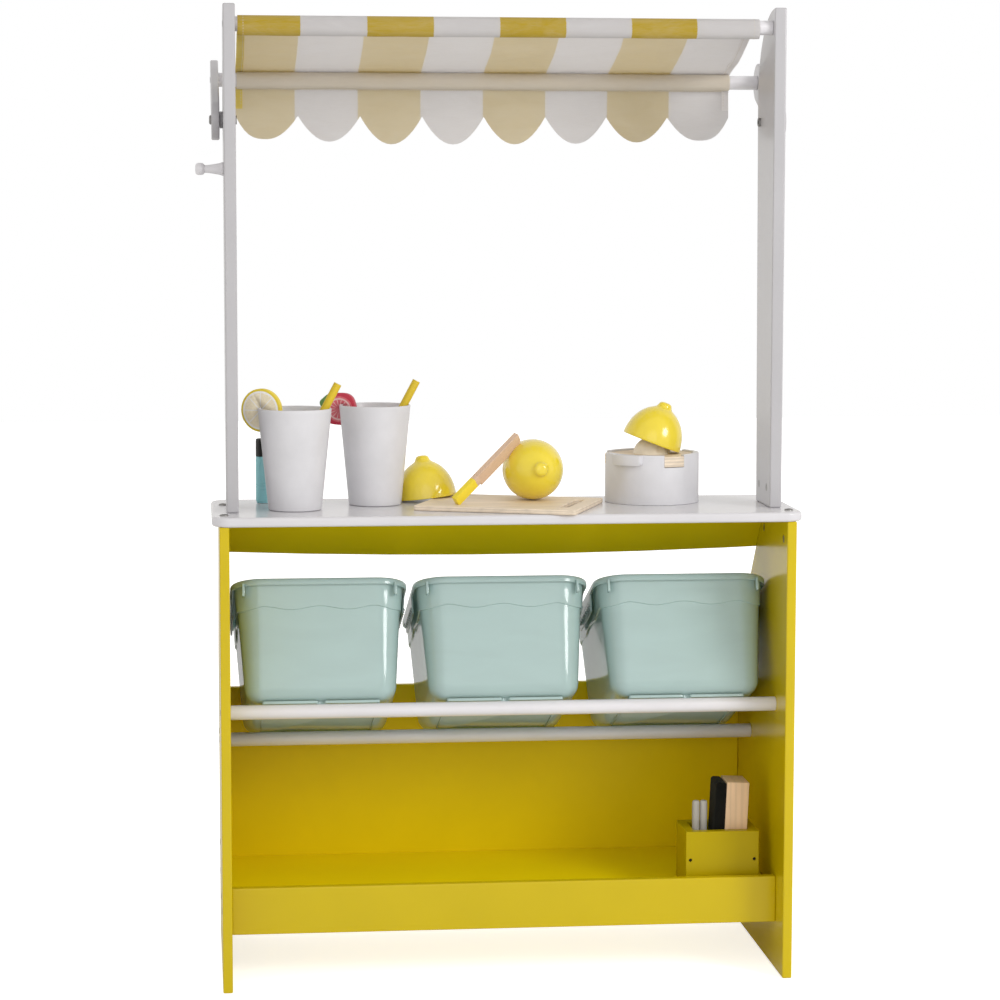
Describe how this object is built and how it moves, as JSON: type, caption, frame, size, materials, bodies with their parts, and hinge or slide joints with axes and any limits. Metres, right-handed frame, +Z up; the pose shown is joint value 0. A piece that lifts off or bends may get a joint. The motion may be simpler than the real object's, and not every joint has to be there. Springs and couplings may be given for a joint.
{
  "type": "toy market stall",
  "caption": "Toy market stall with a yellow cabinet, white counter and posts, a striped folding awning, lift-out bins and loose play food.",
  "frame": {"origin": "on the floor, below the middle of the whole part's box", "axes": "+Z up, +Y from the seller's side to the customers' side, +X to the seller's right when facing the customers"},
  "size_m": [0.746, 0.3652, 1.21],
  "materials": {
    "yellow_lacquer": "gloss lacquer",
    "white_lacquer": "satin lacquer",
    "zinc_steel": "zinc plated",
    "bare_wood": "bare, fine sanded",
    "striped_cloth": "woven, printed stripes",
    "mint_plastic": "moulded gloss",
    "chalk": "dry matte",
    "black_felt": "felt",
    "white_paint": "satin paint",
    "yellow_paint": "satin paint",
    "red_paint": "satin paint",
    "teal_plastic": "gloss",
    "black_plastic": "gloss",
    "lemon_paint": "satin paint"
  },
  "bodies": {
    "stall": {"left_side_panel": "yellow_lacquer", "right_side_panel": "yellow_lacquer", "front_panel": "yellow_lacquer", "front_apron": "yellow_lacquer", "bottom_shelf": "yellow_lacquer", "shelf_lip": "yellow_lacquer", "counter_top": "white_lacquer", "left_post": "white_lacquer", "right_post": "white_lacquer", "upper_bin_rail": "white_lacquer", "lower_bin_rail": "white_lacquer", "rear_canopy_rail": "white_lacquer", "hanging_peg": "white_lacquer", "frame_screws": "zinc_steel", "apron_screws": "zinc_steel", "canopy_rail_screws": "zinc_steel", "counter_bolts": "zinc_steel", "counter_barrel_nuts": "zinc_steel", "post_bolts": "zinc_steel", "post_barrel_nuts": "zinc_steel", "arm_spacers": "white_lacquer", "arm_pivot_bolts": "zinc_steel", "arm_pivot_nuts": "zinc_steel", "canopy_cloth": "striped_cloth"},
    "awning": {"left_canopy_arm": "white_lacquer", "right_canopy_arm": "white_lacquer", "front_canopy_rail": "white_lacquer", "front_rail_screws": "zinc_steel"},
    "valance": {"canopy_valance": "striped_cloth"},
    "left_bin": {"bin_left": "mint_plastic"},
    "middle_bin": {"bin_middle": "mint_plastic"},
    "right_bin": {"bin_right": "mint_plastic"},
    "caddy": {"chalk_caddy": "yellow_lacquer", "caddy_screws": "zinc_steel"},
    "left_chalk": {"chalk_stick_left": "chalk"},
    "right_chalk": {"chalk_stick_right": "chalk"},
    "eraser": {"eraser_block": "bare_wood", "eraser_felt": "black_felt"},
    "left_cup": {"cup_left": "white_paint"},
    "left_straw": {"straw_left": "yellow_paint"},
    "rim_lemon": {"lemon_slice": "yellow_paint"},
    "right_cup": {"cup_right": "white_paint"},
    "right_straw": {"straw_right": "yellow_paint"},
    "rim_berry": {"berry_slice": "red_paint"},
    "marker": {"marker_barrel": "teal_plastic"},
    "pen_cap": {"marker_cap": "black_plastic"},
    "board": {"cutting_board": "bare_wood"},
    "loose_half": {"lemon_half": "lemon_paint"},
    "lemon_near": {"lemon_near_half": "lemon_paint"},
    "lemon_far": {"lemon_far_half": "lemon_paint"},
    "knife": {"toy_knife": "bare_wood"},
    "juicer": {"juicer_body": "white_paint", "juicer_spout": "white_paint"},
    "squeezer": {"juicer_plate": "bare_wood", "juicer_reamer": "bare_wood"},
    "squeezed_half": {"squeezed_lemon_half": "lemon_paint"}
  },
  "joints": [
    {"name": "awning_fold", "type": "hinge", "parent": "stall", "child": "awning", "pos_m": [0.008, -0.03076, 1.072], "axis": [1, 0, 0], "range_deg": [0, 60], "deforming": ["canopy_cloth"]},
    {"name": "valance_hang", "type": "hinge", "parent": "awning", "child": "valance", "pos_m": [0.008, 0.09074, 1.1261], "axis": [1, 0, 0], "range_deg": [-60, 0]},
    {"name": "left_bin_lift", "type": "slide", "parent": "stall", "child": "left_bin", "axis": [0, 0.3694, 0.9293], "range_m": [0, 0.045]},
    {"name": "middle_bin_lift", "type": "slide", "parent": "stall", "child": "middle_bin", "axis": [0, 0.3694, 0.9293], "range_m": [0, 0.045]},
    {"name": "right_bin_lift", "type": "slide", "parent": "stall", "child": "right_bin", "axis": [0, 0.3694, 0.9293], "range_m": [0, 0.045]},
    {"name": "caddy_lift", "type": "slide", "parent": "stall", "child": "caddy", "axis": [0, 0, 1], "range_m": [0, 0.03]},
    {"name": "left_chalk_lift", "type": "slide", "parent": "caddy", "child": "left_chalk", "axis": [0, 0, 1], "range_m": [0, 0.05]},
    {"name": "right_chalk_lift", "type": "slide", "parent": "caddy", "child": "right_chalk", "axis": [0, 0, 1], "range_m": [0, 0.05]},
    {"name": "eraser_lift", "type": "slide", "parent": "caddy", "child": "eraser", "axis": [0.0436, 0, 0.999], "range_m": [0, 0.04]},
    {"name": "left_cup_lift", "type": "slide", "parent": "stall", "child": "left_cup", "axis": [0, 0, 1], "range_m": [0, 0.1]},
    {"name": "left_straw_draw", "type": "slide", "parent": "left_cup", "child": "left_straw", "axis": [0.4695, 0, 0.8829], "range_m": [0, 0.1]},
    {"name": "rim_lemon_lift", "type": "slide", "parent": "left_cup", "child": "rim_lemon", "axis": [-0.0845, 0.043, 0.9955], "range_m": [0, 0.03]},
    {"name": "right_cup_lift", "type": "slide", "parent": "stall", "child": "right_cup", "axis": [0, 0, 1], "range_m": [0, 0.1]},
    {"name": "right_straw_draw", "type": "slide", "parent": "right_cup", "child": "right_straw", "axis": [0.4695, 0, 0.8829], "range_m": [0, 0.1]},
    {"name": "rim_berry_lift", "type": "slide", "parent": "right_cup", "child": "rim_berry", "axis": [-0.0845, 0.043, 0.9955], "range_m": [0, 0.03]},
    {"name": "marker_lift", "type": "slide", "parent": "stall", "child": "marker", "axis": [0, 0, 1], "range_m": [0, 0.08]},
    {"name": "pen_cap_pull", "type": "slide", "parent": "marker", "child": "pen_cap", "axis": [0, 0, 1], "range_m": [0, 0.03]},
    {"name": "board_lift", "type": "slide", "parent": "stall", "child": "board", "axis": [0, 0, 1], "range_m": [0, 0.04]},
    {"name": "loose_half_lift", "type": "slide", "parent": "board", "child": "loose_half", "axis": [0.6, 0, 0.8], "range_m": [0, 0.05]},
    {"name": "lemon_lift", "type": "slide", "parent": "board", "child": "lemon_near", "axis": [0.8, 0, 0.6], "range_m": [0, 0.05]},
    {"name": "lemon_part", "type": "slide", "parent": "lemon_near", "child": "lemon_far", "axis": [-0.0872, 0.9962, 0], "range_m": [0, 0.03]},
    {"name": "knife_lift", "type": "slide", "parent": "board", "child": "knife", "axis": [-0.5, 0, 0.866], "range_m": [0, 0.05]},
    {"name": "juicer_lift", "type": "slide", "parent": "stall", "child": "juicer", "axis": [0, 0, 1], "range_m": [0, 0.06]},
    {"name": "squeezer_lift", "type": "slide", "parent": "juicer", "child": "squeezer", "axis": [0, 0, 1], "range_m": [0, 0.03]},
    {"name": "squeezed_half_lift", "type": "slide", "parent": "squeezer", "child": "squeezed_half", "axis": [0.3584, 0, 0.9336], "range_m": [0, 0.06]}
  ],
  "couplings": [
    {"joint": "valance_hang", "follows": "awning_fold", "ratio": -1}
  ]
}
